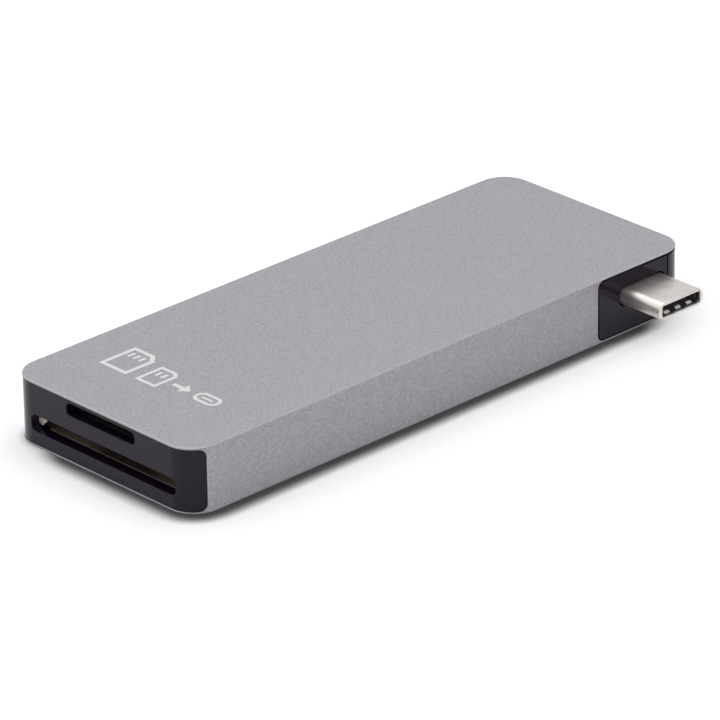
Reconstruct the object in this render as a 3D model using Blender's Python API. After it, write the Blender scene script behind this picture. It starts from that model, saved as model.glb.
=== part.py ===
"""USB hub with two card slots, built at rest. +X runs along the body to the plug's end, +Z is up.

Lengths in this file are millimetres; point() turns them into metres. The origin is the centre of the
housing's flat underside.
"""

import math

import bmesh
import bpy

MM = 0.001

# Housing, an aluminium sleeve open at both ends
BODY_L, BODY_W, BODY_H = 86.5, 33.5, 8.9
CORNER_R = 3.9
EDGE_BREAK = 0.15
WALL = 1.0
FLOOR_Z, ROOF_Z = 1.0, 8.0
CAVITY_R = 0.8
HALF_L, HALF_W = BODY_L / 2, BODY_W / 2

# Windows in the sleeve, one at each end and one beside the plug
WINDOW_Z0, WINDOW_Z1, WINDOW_R = 0.28, 8.65, 1.0
PORT_WINDOW_Z1 = 8.76
CARD_WINDOW_X = -40.55
PORT_WINDOW_X = 40.55
PLUG_WINDOW_X = 26.6
PLUG_WINDOW_Y = -14.75
SEAM_X = 39.55

# End caps and bezel; the ones at the plug's end stop further below the window's top
CAP_GAP, PORT_CAP_Z1 = 0.06, 8.45
CAP_FACE_X = 43.2
CAP_BACK_X = 40.65
CARD_WEB_X, PORT_WEB_X = 42.0, 41.55
BEZEL_Y, BEZEL_GAP = -16.65, 0.34
ARM_Y0, ARM_Y1, ARM_Z0, ARM_Z1 = 14.9, 15.6, 1.6, 4.1
BARB_X0, BARB_X1, BARB_Y = 36.35, 37.25, 16.05

# Card sockets' middles, and the slots in the cap: middle (y, z), width, height, corner radius
SD_Y, MICRO_Y = -0.5, -0.4
SD_SLOT = (-0.37, 3.2, 26.45, 2.25, 0.8)
MICRO_SLOT = (-0.12, 7.27, 12.55, 1.65, 0.7)
SLOT_LEAD = 0.1

# Plug
PLUG_X, PLUG_Z = 34.82, 5.22
PLUG_W, PLUG_H, ROOT_W = 8.25, 2.4, 8.45
PLUG_TIP_Y, FLARE_END_Y, FLARE_START_Y, PLUG_BACK_Y = -23.57, -18.7, -17.3, -14.15
PLUG_HOLE_W, PLUG_HOLE_H = 8.85, 2.98
MOUTH_W, MOUTH_H, MOUTH_R = 7.0, 1.65, 0.28
FINGER_W, FINGER_GAP = 0.85, 1.2

# Board
BOARD_Z0, BOARD_Z1 = 4.85, 5.65
BOARD_X0, BOARD_X1, BOARD_HALF_W = -40.35, 40.25, 15.5
PLUG_EDGE_Y, PLUG_EDGE_X = -13.75, 26.2
RAIL_Y, RAIL_GAP, RAIL_T = 14.9, 0.08, 0.5
REST = 0.03

# Ports on the far side and in the plug's end
USB_A_X = (-1.5, 19.5)
USB_A_W, USB_A_H, USB_A_WALL, USB_A_Z = 13.1, 5.72, 0.3, 4.45
USB_A_Y0, USB_A_Y1 = 2.4, 15.45
PORT_Z, PORT_W, PORT_H, PORT_WALL = 5.0, 8.94, 3.16, 0.2
PORT_X0, PORT_X1 = 35.75, 42.95

# SD socket, hung upside down under the board
SD_X0, SD_X1 = -41.35, -13.4
SD_HALF, SD_CHANNEL = 13.7, 12.2
SD_CONTACTS, SD_PITCH = 9, 2.5
DETECT_PIVOT = (SD_X1 - 2.8, SD_Y + 12.75)
PROTECT_PIVOT = (SD_X1 - 18.8, SD_Y + 12.75)
LEVER_Z0, LEVER_Z1, LEVER_R, POST_R = 2.35, 3.95, 0.45, 0.18

# MicroSD socket, on top of the board
MICRO_X0, MICRO_X1 = -41.3, -25.6
LANE_Y0, LANE_Y1 = 5.35, 6.85
MICRO_FLOOR_Z, MICRO_TOP_Z = 6.3, 7.6
PIN_PIVOT = (MICRO_X1 - 12.7, 6.1)
PIN_TIP_X = MICRO_X1 - 8.4
MICRO_CONTACTS, MICRO_PITCH = 8, 1.1


def clear_scene():
    for obj in list(bpy.data.objects):
        bpy.data.objects.remove(obj)


def point(x, y, z):
    return (x * MM, y * MM, z * MM)


# Outlines, as lists of (u, v)


def rounded_rect(u0, u1, v0, v1, r, steps=5):
    """Counter-clockwise outline. r is one radius, or four from the lower left corner round."""
    radii = r if isinstance(r, tuple) else (r,) * 4
    corners = ((u0, v0, 180), (u1, v0, 270), (u1, v1, 0), (u0, v1, 90))
    outline = []
    for (u, v, start), radius in zip(corners, radii):
        if radius == 0:
            outline.append((u, v))
            continue
        cu = u + radius if u == u0 else u - radius
        cv = v + radius if v == v0 else v - radius
        for k in range(steps + 1):
            angle = math.radians(start + 90 * k / steps)
            outline.append((cu + radius * math.cos(angle), cv + radius * math.sin(angle)))
    return outline


def obround(cu, cv, w, h, steps=8):
    r = min(w, h) / 2
    half = w / 2 - r
    outline = []
    for side, start in ((1, -90), (-1, 90)):
        for k in range(steps + 1):
            angle = math.radians(start + 180 * k / steps)
            outline.append((cu + side * half + r * math.cos(angle), cv + r * math.sin(angle)))
    return outline


def strip(path, thickness):
    """Closed outline of a thin strip that follows a path of (u, v)."""
    left, right = [], []
    for k, (u, v) in enumerate(path):
        before = path[max(k - 1, 0)]
        after = path[min(k + 1, len(path) - 1)]
        du, dv = after[0] - before[0], after[1] - before[1]
        length = math.hypot(du, dv)
        nu, nv = -dv / length * thickness / 2, du / length * thickness / 2
        left.append((u + nu, v + nv))
        right.append((u - nu, v - nv))
    return right + left[::-1]


# Meshes


def place(axis, u, v, w):
    """A point of an outline (u, v) at height w along the axis."""
    if axis == "X":
        return point(w, u, v)
    if axis == "Y":
        return point(u, w, v)
    return point(u, v, w)


def new_object(name, mesh_builder):
    mesh = bpy.data.meshes.new(name)
    bm = bmesh.new()
    mesh_builder(bm)
    bmesh.ops.recalc_face_normals(bm, faces=bm.faces)
    bm.to_mesh(mesh)
    bm.free()
    obj = bpy.data.objects.new(name, mesh)
    bpy.context.scene.collection.objects.link(obj)
    return obj


def prism(name, outline, axis, w0, w1):
    """The outline extruded along an axis from w0 to w1."""

    def build(bm):
        face = bm.faces.new([bm.verts.new(place(axis, u, v, w0)) for u, v in outline])
        made = bmesh.ops.extrude_face_region(bm, geom=[face])
        moved = [e for e in made["geom"] if isinstance(e, bmesh.types.BMVert)]
        start, end = place(axis, 0, 0, w0), place(axis, 0, 0, w1)
        shift = [b - a for a, b in zip(start, end)]
        bmesh.ops.translate(bm, verts=moved, vec=shift)

    return new_object(name, build)


def box(name, x0, x1, y0, y1, z0, z1):
    return prism(name, [(x0, y0), (x1, y0), (x1, y1), (x0, y1)], "Z", z0, z1)


def loft(name, axis, sections):
    """A solid through sections of (outline, w), all with as many points."""

    def build(bm):
        rings = [[bm.verts.new(place(axis, u, v, w)) for u, v in outline] for outline, w in sections]
        for lower, upper in zip(rings, rings[1:]):
            count = len(lower)
            for k in range(count):
                after = (k + 1) % count
                bm.faces.new((lower[k], lower[after], upper[after], upper[k]))
        bm.faces.new(rings[0][::-1])
        bm.faces.new(rings[-1])

    return new_object(name, build)


def coil(name, start, length, turns, radius, wire, around=12, sides=6):
    """A closed-ended spring that runs along +X from start."""

    def build(bm):
        rings = []
        count = int(turns * around)
        for k in range(count + 1):
            share = k / count
            eased = min(max((share - 0.1) / 0.8, 0), 1)
            x = start[0] + wire / 2 + (length - wire) * eased
            angle = 2 * math.pi * turns * share
            cy, cz = math.cos(angle), math.sin(angle)
            ring = []
            for s in range(sides):
                turn = 2 * math.pi * s / sides
                out = radius + wire / 2 * math.cos(turn)
                along = wire / 2 * math.sin(turn)
                ring.append(bm.verts.new(point(x + along, start[1] + out * cy, start[2] + out * cz)))
            rings.append(ring)
        for lower, upper in zip(rings, rings[1:]):
            for s in range(sides):
                after = (s + 1) % sides
                bm.faces.new((lower[s], lower[after], upper[after], upper[s]))
        bm.faces.new(rings[0][::-1])
        bm.faces.new(rings[-1])

    return new_object(name, build)


# Modifiers


def boolean(obj, tool, operation):
    modifier = obj.modifiers.new(operation.title(), "BOOLEAN")
    modifier.operation = operation
    modifier.solver = "EXACT"
    modifier.object = tool
    tool.hide_render = True
    tool.display_type = "WIRE"


def cut(obj, *tools):
    for tool in tools:
        boolean(obj, tool, "DIFFERENCE")
    return obj


def join(obj, *tools):
    for tool in tools:
        boolean(obj, tool, "UNION")
    return obj


def keep_inside(obj, tool):
    boolean(obj, tool, "INTERSECT")
    return obj


def soften(obj, width, segments=1, angle=60):
    modifier = obj.modifiers.new("Edges", "BEVEL")
    modifier.width = width * MM
    modifier.segments = segments
    modifier.limit_method = "ANGLE"
    modifier.angle_limit = math.radians(angle)
    return obj


def smooth(obj, angle=40):
    for polygon in obj.data.polygons:
        polygon.use_smooth = True
    obj.data.set_sharp_from_angle(angle=math.radians(angle))
    return obj


def set_pivot(obj, x, y, z):
    """Moves the object's origin without moving its shape."""
    for vertex in obj.data.vertices:
        vertex.co.x -= x * MM
        vertex.co.y -= y * MM
        vertex.co.z -= z * MM
    obj.location = point(x, y, z)


def material(name, colour, roughness, metallic=0.0):
    made = bpy.data.materials.new(name)
    made.use_nodes = True
    shader = made.node_tree.nodes["Principled BSDF"]
    shader.inputs["Base Color"].default_value = (*colour, 1.0)
    shader.inputs["Roughness"].default_value = roughness
    shader.inputs["Metallic"].default_value = metallic
    return made


def paint(obj, colour, roughness, metallic=0.0):
    obj.data.materials.append(material(obj.name, colour, roughness, metallic))
    return obj


ANODISED = ((0.36, 0.36, 0.37), 0.42, 0.85)
BLACK_GLOSS = ((0.012, 0.012, 0.013), 0.18)
NICKEL = ((0.62, 0.59, 0.55), 0.24, 1.0)
STEEL = ((0.52, 0.50, 0.47), 0.30, 1.0)
BRONZE = ((0.80, 0.58, 0.27), 0.28, 1.0)
MOULDING = ((0.02, 0.02, 0.022), 0.5)
IVORY = ((0.55, 0.50, 0.40), 0.5)
BLUE = ((0.01, 0.07, 0.40), 0.42)
BOARD = ((0.01, 0.07, 0.03), 0.35)
CHIP = ((0.02, 0.02, 0.022), 0.55)
CERAMIC = ((0.25, 0.16, 0.09), 0.4)
FERRITE = ((0.05, 0.05, 0.055), 0.6)
PAD = ((0.20, 0.28, 0.38), 0.8)


# Outside


def body_outline(inset):
    return rounded_rect(
        -HALF_L + inset, HALF_L - inset, -HALF_W + inset, HALF_W - inset, CORNER_R - inset, 10
    )


def build_housing():
    housing = prism("housing", body_outline(0), "Z", 0, BODY_H)
    soften(housing, EDGE_BREAK, 2)
    inside = HALF_W - WALL
    reach = HALF_L + 5
    cavity = rounded_rect(-inside, inside, FLOOR_Z, ROOF_Z, CAVITY_R)
    cut(housing, prism("cavity", cavity, "X", -reach, reach))
    card = rounded_rect(-reach, CARD_WINDOW_X, WINDOW_Z0, WINDOW_Z1, (0, WINDOW_R, WINDOW_R, 0))
    cut(housing, prism("card_window", card, "Y", -20, 20))
    port = rounded_rect(PORT_WINDOW_X, reach, WINDOW_Z0, PORT_WINDOW_Z1, (WINDOW_R, 0, 0, WINDOW_R))
    cut(housing, prism("port_window", port, "Y", -20, 20))
    plug = rounded_rect(PLUG_WINDOW_X, reach, WINDOW_Z0, PORT_WINDOW_Z1, (WINDOW_R, 0, 0, WINDOW_R))
    cut(housing, prism("plug_window", plug, "Y", -20, PLUG_WINDOW_Y))
    for k, x in enumerate(USB_A_X):
        opening = rounded_rect(x - 6.6, x + 6.6, USB_A_Z - 2.9, USB_A_Z + 2.9, 0.5)
        cut(housing, prism(f"usb_a_opening_{k}", opening, "Y", 14, 20))
    rails = (("near", -HALF_W + 0.8, -RAIL_Y, -35, 25.8), ("far", RAIL_Y, HALF_W - 0.8, -35, -10))
    for side, y0, y1, x0, x1 in rails:
        low = BOARD_Z0 - RAIL_GAP
        high = BOARD_Z1 + RAIL_GAP
        join(housing, box(f"rail_low_{side}", x0, x1, y0, y1, low - RAIL_T, low))
        join(housing, box(f"rail_high_{side}", x0, x1, y0, y1, high, high + RAIL_T))
    pockets = (("a", -1, -1), ("b", -1, 1), ("c", 1, 1))
    for label, end, side in pockets:
        cut(housing, barb_box(f"barb_pocket_{label}", end, side, 0.15))
    smooth(housing, 25)
    return paint(housing, *ANODISED)


def ordered(a, b):
    return min(a, b), max(a, b)


def barb_box(name, end, side, slack):
    x0, x1 = ordered(end * (BARB_X0 - slack), end * (BARB_X1 + slack))
    y0, y1 = ordered(side * (ARM_Y0 + 0.3), side * (BARB_Y + slack))
    return box(name, x0, x1, y0, y1, ARM_Z0 - slack, ARM_Z1 + slack)


def snap_arm(name, end, side):
    """A cap's arm, with a barb that catches in the housing wall."""
    x0, x1 = ordered(end * BARB_X0, end * (CAP_BACK_X + 0.5))
    y0, y1 = ordered(side * ARM_Y0, side * ARM_Y1)
    return join(box(name, x0, x1, y0, y1, ARM_Z0, ARM_Z1), barb_box(name + "_barb", end, side, 0))


def build_card_end_cap():
    z0, z1, r = WINDOW_Z0 + CAP_GAP, WINDOW_Z1 - CAP_GAP, WINDOW_R - CAP_GAP
    cap = prism("card_end_cap", body_outline(0.05), "Z", z0, z1)
    side = rounded_rect(-60, -CAP_BACK_X, z0, z1, (0, r, r, 0))
    keep_inside(cap, prism("card_cap_side", side, "Y", -20, 20))
    cut(cap, box("card_cap_pocket", -CARD_WEB_X, -30, -14.5, 14.5, 1.15, ROOF_Z + 0.1))
    cut(cap, slot_cutter("sd_slot", *SD_SLOT))
    cut(cap, slot_cutter("micro_slot", *MICRO_SLOT))
    for label, way in (("near", -1), ("far", 1)):
        join(cap, snap_arm(f"card_arm_{label}", -1, way))
    smooth(cap, 25)
    return paint(cap, *BLACK_GLOSS)


def slot_cutter(name, y, z, w, h, r):
    """A slot through the card cap, a little wider at its mouth."""

    def ring(grow):
        half_w, half_h = w / 2 + grow, h / 2 + grow
        return rounded_rect(y - half_w, y + half_w, z - half_h, z + half_h, r + grow)

    face = -CAP_FACE_X
    sections = (
        (ring(SLOT_LEAD), face - 0.5),
        (ring(SLOT_LEAD), face),
        (ring(0), face + SLOT_LEAD),
        (ring(0), -30),
    )
    return loft(name, "X", sections)


def build_port_end_cap():
    z0, z1, r = WINDOW_Z0 + CAP_GAP, PORT_CAP_Z1, WINDOW_R - CAP_GAP
    cap = prism("port_end_cap", body_outline(0.05), "Z", z0, z1)
    side = rounded_rect(CAP_BACK_X, 60, z0, z1, (r, 0, 0, r))
    around = prism("port_cap_side", side, "Y", PLUG_WINDOW_Y - CAP_GAP, 20)
    returned = rounded_rect(SEAM_X + CAP_GAP, 60, z0, z1, 0)
    join(around, prism("port_cap_return", returned, "Y", -20, PLUG_WINDOW_Y - CAP_GAP + 0.01))
    keep_inside(cap, around)
    cut(cap, box("port_cap_pocket", 30, PORT_WEB_X, -13.6, 14.5, 1.15, ROOF_Z - 0.1))
    hole = obround(0, PORT_Z, PORT_W + 0.3, PORT_H + 0.3)
    cut(cap, prism("port_hole", hole, "X", 30, 60))
    join(cap, snap_arm("port_arm", 1, 1))
    smooth(cap, 25)
    return paint(cap, *BLACK_GLOSS)


def build_plug_bezel():
    z0, z1, r = WINDOW_Z0 + CAP_GAP, PORT_CAP_Z1, WINDOW_R - BEZEL_GAP
    outline = rounded_rect(PLUG_WINDOW_X + BEZEL_GAP, SEAM_X - 0.04, z0, z1, (r, 0, 0, r))
    bezel = prism("plug_bezel", outline, "Y", BEZEL_Y, PLUG_WINDOW_Y - CAP_GAP)
    soften(bezel, 0.08)
    hole = obround(PLUG_X, PLUG_Z, PLUG_HOLE_W, PLUG_HOLE_H, 12)
    cut(bezel, prism("plug_hole", hole, "Y", -20, -10))
    smooth(bezel, 25)
    return paint(bezel, *BLACK_GLOSS)


# Plug


def build_plug_shell():
    def ring(w, h, steps=10):
        return obround(PLUG_X, PLUG_Z, w, h, steps)

    middle = (FLARE_START_Y + FLARE_END_Y) / 2
    outer = (
        (ring(PLUG_W - 0.3, PLUG_H - 0.3), PLUG_TIP_Y),
        (ring(PLUG_W - 0.09, PLUG_H - 0.09), PLUG_TIP_Y + 0.05),
        (ring(PLUG_W, PLUG_H), PLUG_TIP_Y + 0.18),
        (ring(PLUG_W, PLUG_H), FLARE_END_Y),
        (ring((PLUG_W + ROOT_W) / 2, PLUG_H), middle),
        (ring(ROOT_W, PLUG_H), FLARE_START_Y),
        (ring(ROOT_W, PLUG_H), PLUG_BACK_Y),
    )
    shell = loft("plug_shell", "Y", outer)
    inner = (
        (ring(7.75, 1.9), PLUG_TIP_Y + 0.35),
        (ring(7.75, 1.9), PLUG_BACK_Y + 2),
    )
    cut(shell, loft("plug_bore", "Y", inner))
    half_w, half_h = MOUTH_W / 2, MOUTH_H / 2
    mouth = rounded_rect(PLUG_X - half_w, PLUG_X + half_w, PLUG_Z - half_h, PLUG_Z + half_h, MOUTH_R)
    cut(shell, prism("plug_mouth", mouth, "Y", -30, PLUG_TIP_Y + 2))
    for side in (-1, 1):
        x0, x1 = ordered(PLUG_X + side * 4.1, PLUG_X + side * 4.4)
        join(shell, box(f"plug_tab_{side}", x0, x1, PLUG_BACK_Y - 0.4, -11.5, PLUG_Z - 1.0, PLUG_Z + 1.0))
    smooth(shell, 40)
    return paint(shell, *NICKEL)


def build_plug_insulator():
    block = prism("plug_insulator", obround(PLUG_X, PLUG_Z, 7.65, 1.8), "Y", PLUG_TIP_Y + 0.4, PLUG_BACK_Y + 0.2)
    slots = (("plug_slot", 3.46, 0.5, 6.7), ("plug_slot_front", 3.05, 0.78, 3.1))
    for label, half_w, half_h, depth in slots:
        x0, x1, z0, z1 = PLUG_X - half_w, PLUG_X + half_w, PLUG_Z - half_h, PLUG_Z + half_h
        cut(block, box(label, x0, x1, -30, PLUG_TIP_Y + depth, z0, z1))
    for side in (-1, 1):
        a, b = ordered(PLUG_X + side * 3.0, PLUG_X + side * 3.58)
        cut(block, box(f"latch_channel_{side}", a, b, -30, PLUG_TIP_Y + 7.9, PLUG_Z - 0.45, PLUG_Z + 0.45))
    return paint(block, *MOULDING)


def build_ground_spring(name, side):
    """Three contact fingers on one strip, arched into the mouth."""
    arch = ((0.5, 0.7), (0.72, 0.54), (1.1, 0.47), (1.6, 0.52), (2.35, 0.7), (2.9, 0.7))
    path = [(PLUG_TIP_Y + v, PLUG_Z + side * w) for v, w in arch]
    reach = 1.5 * FINGER_W + FINGER_GAP
    spring = prism(name, strip(path, 0.1), "X", PLUG_X - reach, PLUG_X + reach)
    for k in (-1, 1):
        x = PLUG_X + k * (FINGER_W + FINGER_GAP) / 2
        x0, x1 = x - FINGER_GAP / 2, x + FINGER_GAP / 2
        cut(spring, box(f"{name}_gap_{k}", x0, x1, -30, PLUG_TIP_Y + 2.35, 0, 9))
    return paint(spring, *NICKEL)


def build_plug_latch(name, side):
    reach = ((3.38, 7.7), (3.38, 2.9), (3.2, 1.7), (3.34, 0.7))
    path = [(u, PLUG_TIP_Y + v) for u, v in reach]
    outline = [(PLUG_X + side * u, v) for u, v in strip(path, 0.12)]
    latch = prism(name, outline, "Z", PLUG_Z - 0.38, PLUG_Z + 0.38)
    return paint(latch, *STEEL)


# Board


def build_main_board():
    half = BOARD_HALF_W
    outline = [
        (BOARD_X0, -half),
        (PLUG_EDGE_X, -half),
        (PLUG_EDGE_X, PLUG_EDGE_Y),
        (BOARD_X1, PLUG_EDGE_Y),
        (BOARD_X1, -4.7),
        (PORT_X0 - 0.3, -4.7),
        (PORT_X0 - 0.3, 4.7),
        (BOARD_X1, 4.7),
        (BOARD_X1, half),
    ]
    for x in reversed(USB_A_X):
        outline += [
            (x + 6.75, half),
            (x + 6.75, USB_A_Y0 - 0.15),
            (x - 6.75, USB_A_Y0 - 0.15),
            (x - 6.75, half),
        ]
    outline.append((BOARD_X0, half))
    board = prism("main_board", outline, "Z", BOARD_Z0, BOARD_Z1)
    for side in (-1, 1):
        x = PLUG_X + side * 4.25
        cut(board, box(f"tab_notch_{side}", x - 0.3, x + 0.3, -20, -11.3, 0, 9))
    return paint(board, *BOARD)


def build_chip(name, x, y, w, d, h, look, chamfer=0.08):
    base = BOARD_Z1 + REST
    chip = box(name, x - w / 2, x + w / 2, y - d / 2, y + d / 2, base, base + h)
    soften(chip, chamfer)
    return paint(chip, *look)


def build_board_parts():
    build_chip("hub_controller", 4.0, -6.5, 9.0, 9.0, 0.85, CHIP)
    build_chip("card_reader_chip", -18.5, -4.0, 6.0, 6.0, 0.85, CHIP)
    build_chip("power_controller", 30.5, 9.5, 5.0, 5.0, 0.8, CHIP)
    build_chip("hub_crystal", -5.0, -8.5, 3.2, 2.5, 0.75, NICKEL)
    build_chip("reader_crystal", -18.5, 4.5, 3.2, 2.5, 0.75, NICKEL)
    build_chip("power_inductor", 30.0, 1.0, 4.2, 4.2, 2.0, FERRITE, 0.35)
    build_chip("power_switch", 17.0, -2.5, 2.9, 1.7, 1.1, CHIP)
    build_chip("bulk_capacitor_1", -11.0, 7.0, 2.8, 3.5, 1.9, CERAMIC)
    build_chip("bulk_capacitor_2", 9.0, 8.0, 2.8, 3.5, 1.9, CERAMIC)
    pad_z = BOARD_Z1 + REST + 0.85 + REST
    pad = box("thermal_pad", 0.0, 8.0, -10.5, -2.5, pad_z, ROOF_Z - REST)
    soften(pad, 0.1)
    paint(pad, *PAD)


# Ports


def build_usb_a_shell(name, x):
    w, h, t = USB_A_W / 2, USB_A_H / 2, USB_A_WALL
    outer = rounded_rect(x - w, x + w, USB_A_Z - h, USB_A_Z + h, 0.6, 3)
    shell = prism(name, outer, "Y", USB_A_Y0, USB_A_Y1)
    inner = rounded_rect(x - w + t, x + w - t, USB_A_Z - h + t, USB_A_Z + h - t, 0.3, 3)
    cut(shell, prism(name + "_bore", inner, "Y", 0, 20))
    for side in (-1, 1):
        middle = x + side * 3.2
        a, b, c, d = middle - 1.3, middle - 1.05, middle + 1.05, middle + 1.3
        y0, y1 = 7.4, 12.8
        finger = [(a, y0), (b, y0), (b, y1 - 0.25), (c, y1 - 0.25), (c, y0), (d, y0), (d, y1), (a, y1)]
        cut(shell, prism(f"{name}_finger_{side}", finger, "Z", 0, 9))
    return paint(shell, *STEEL)


def build_usb_a_insulator(name, x):
    block = box(name, x - 6.15, x + 6.15, USB_A_Y0 + 0.2, USB_A_Y0 + 2.8, USB_A_Z - 2.42, USB_A_Z + 2.42)
    tongue = box(name + "_tongue", x - 5.6, x + 5.6, 4.7, USB_A_Y1 - 0.8, USB_A_Z + 0.05, USB_A_Z + 1.89)
    soften(tongue, 0.25, 1)
    join(block, tongue)
    return paint(block, *BLUE)


def build_usb_c_port():
    outer = obround(0, PORT_Z, PORT_W, PORT_H)
    shell = prism("usb_c_port_shell", outer, "X", PORT_X0, PORT_X1)
    inner = obround(0, PORT_Z, PORT_W - 2 * PORT_WALL, PORT_H - 2 * PORT_WALL)
    cut(shell, prism("port_bore", inner, "X", 20, 60))
    smooth(shell, 40)
    paint(shell, *STEEL)
    plug = obround(0, PORT_Z, PORT_W - 0.52, PORT_H - 0.52)
    block = prism("usb_c_port_insulator", plug, "X", PORT_X0 + 0.2, PORT_X0 + 1.6)
    tongue = box("port_tongue", PORT_X0 + 1.0, PORT_X1 - 0.6, -3.345, 3.345, PORT_Z - 0.35, PORT_Z + 0.35)
    join(block, tongue)
    paint(block, *MOULDING)


# SD socket


def build_sd_base():
    base = box("sd_socket_base", SD_X0, SD_X1, SD_Y - SD_HALF, SD_Y + SD_HALF, 1.8, BOARD_Z0 - REST)
    cut(base, box("sd_channel", -50, SD_X1 - 1.2, SD_Y - SD_CHANNEL, SD_Y + SD_CHANNEL, 0, 4.35))
    cut(base, box("sd_entry", -50, SD_X0 + 3.1, -20, 20, 0, 4.35))
    cut(base, box("sd_tails", SD_X1 - 6.4, 0, SD_Y - 10.9, SD_Y + 10.9, 3.95, 4.35))
    for k in range(SD_CONTACTS):
        y = sd_contact_y(k)
        cut(base, box(f"sd_relief_{k}", SD_X1 - 9.0, SD_X1 - 2.9, y - 0.65, y + 0.65, 4.0, 4.6))
    for label, pivot in (("detect", DETECT_PIVOT), ("protect", PROTECT_PIVOT)):
        x, y = pivot
        cut(base, box(f"{label}_pocket", x - 5.4, x + 0.75, SD_Y + 11.5, y + 0.5, 0, LEVER_Z1 + 0.12))
        post = obround(x, y, 2 * POST_R, 2 * POST_R, 6)
        join(base, prism(f"{label}_post", post, "Z", LEVER_Z0 - 0.15, LEVER_Z1 + 0.5))
    return paint(base, *MOULDING)


def sd_contact_y(k):
    return SD_Y + (k - (SD_CONTACTS - 1) / 2) * SD_PITCH


def build_sd_contacts():
    reach = ((1.3, 4.73), (0.65, 4.73), (0.25, 4.2), (-1.6, 4.15), (-7.0, 3.7), (-7.8, 3.72), (-8.4, 4.1))
    outline = strip([(SD_X1 + u, v) for u, v in reach], 0.14)
    for k in range(SD_CONTACTS):
        y = sd_contact_y(k)
        contact = prism(f"sd_contact_{k + 1}", outline, "Y", y - 0.45, y + 0.45)
        paint(contact, *BRONZE)


def build_sd_shell():
    y0, y1 = SD_Y - SD_HALF - 0.3, SD_Y + SD_HALF + 0.3
    shell = box("sd_socket_shell", SD_X0 - 0.1, SD_X1 + 0.1, y0, y1, 1.45, 3.9)
    soften(shell, 0.2, 2)
    cut(shell, box("sd_shell_inside", -60, 0, y0 + 0.2, y1 - 0.2, 1.65, 9))
    cut(shell, box("sd_shell_top", -60, 0, -20, 20, 3.6, 9))
    for side in (-1, 1):
        a, b = ordered(SD_Y + side * 12.7, SD_Y + side * 20)
        cut(shell, box(f"sd_shell_relief_{side}", -60, SD_X0 + 1.0, a, b, 0, 2.1))
        y = SD_Y + side * 7.5
        a, b, c, d = y - 1.6, y - 1.3, y + 1.3, y + 1.6
        x0, x1 = SD_X0 + 6, SD_X0 + 14
        finger = [(x0, a), (x1, a), (x1, b), (x0 + 0.3, b), (x0 + 0.3, c), (x1, c), (x1, d), (x0, d)]
        cut(shell, prism(f"sd_shell_finger_{side}", finger, "Z", 0, 9))
    return paint(shell, *STEEL)


def build_sd_lever(name, pivot):
    """A switch lever whose nose stands in the card's way. It turns on the base's round post."""
    x, y = pivot
    outline = []
    for k in range(13):
        angle = math.radians(-100 + 195 * k / 12)
        outline.append((x + LEVER_R * math.cos(angle), y + LEVER_R * math.sin(angle)))
    arm = ((-2.4, -0.05), (-4.6, -0.35), (-4.8, -0.75), (-3.9, -1.15), (-3.0, -0.6))
    outline += [(x + u, y + v) for u, v in arm]
    lever = prism(name, outline, "Z", LEVER_Z0, LEVER_Z1)
    bore = 2 * POST_R + 0.12
    hole = prism(name + "_hole", obround(x, y, bore, bore, 6), "Z", 0, 9)
    cut(lever, hole)
    set_pivot(lever, x, y, (LEVER_Z0 + LEVER_Z1) / 2)
    return paint(lever, *BRONZE)


# MicroSD socket


def build_microsd_base():
    z0 = BOARD_Z1 + REST
    base = box("microsd_base", MICRO_X0, MICRO_X1, -7.3, 7.5, z0, MICRO_TOP_Z)
    cut(base, box("micro_channel", -50, MICRO_X1 - 0.8, -6.0, 5.2, MICRO_FLOOR_Z, 9))
    cut(base, box("micro_lane", MICRO_X1 - 11.1, MICRO_X1 - 0.8, 5.0, LANE_Y1, MICRO_FLOOR_Z, 9))
    cut(base, box("micro_gate", MICRO_X1 - 7.2, MICRO_X1 - 0.8, 3.9, 5.4, MICRO_FLOOR_Z, 9))
    cut(base, box("micro_tails", MICRO_X1 - 4.2, 0, -5.2, 4.0, MICRO_FLOOR_Z, 6.6))
    x, y = PIN_PIVOT
    cut(base, prism("pin_hole", obround(x, y, 0.4, 0.4, 6), "Z", 6.8, 9))
    cut(base, box("pin_track", x - 0.3, MICRO_X1 - 10.7, y - 0.6, y + 0.6, 7.32, 9))
    return paint(base, *MOULDING)


def build_microsd_shell():
    shell = box("microsd_shell", MICRO_X0, MICRO_X1 - 0.2, -7.5, 7.7, 5.9, 7.88)
    soften(shell, 0.15, 1)
    cut(shell, box("micro_shell_inside", -60, 0, -7.35, 7.55, 0, 7.73))
    cut(shell, box("micro_shell_low", -60, 0, -20, 20, 0, 6.2))
    for y in (-3.0, 2.0):
        a, b, c, d = y - 1.1, y - 0.9, y + 0.9, y + 1.1
        x0, x1 = MICRO_X1 - 11.2, MICRO_X1 - 6.2
        finger = [(x0, a), (x1, a), (x1, b), (x0 + 0.2, b), (x0 + 0.2, c), (x1, c), (x1, d), (x0, d)]
        cut(shell, prism(f"micro_shell_finger_{y}", finger, "Z", 0, 9))
    return paint(shell, *STEEL)


def build_microsd_slider():
    """The card's carriage, with the open cam that the pin follows."""
    z0, z1 = MICRO_FLOOR_Z + 0.08, 7.35
    slider = box("microsd_slider", MICRO_X1 - 10.6, MICRO_X1 - 3.7, LANE_Y0 + 0.05, LANE_Y1 - 0.1, z0, z1)
    join(slider, box("slider_stop", MICRO_X1 - 4.6, MICRO_X1 - 3.8, 4.1, 5.6, z0, z1 - 0.05))
    cut(slider, box("slider_cam", MICRO_X1 - 10.0, MICRO_X1 - 8.0, 5.6, 6.6, 6.95, 9))
    cut(slider, prism("spring_seat", obround(6.05, 6.87, 1.1, 1.1, 6), "X", MICRO_X1 - 5.7, 0))
    paint(slider, *IVORY)
    set_pivot(slider, MICRO_X1 - 7.2, 6.1, 6.9)


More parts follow.
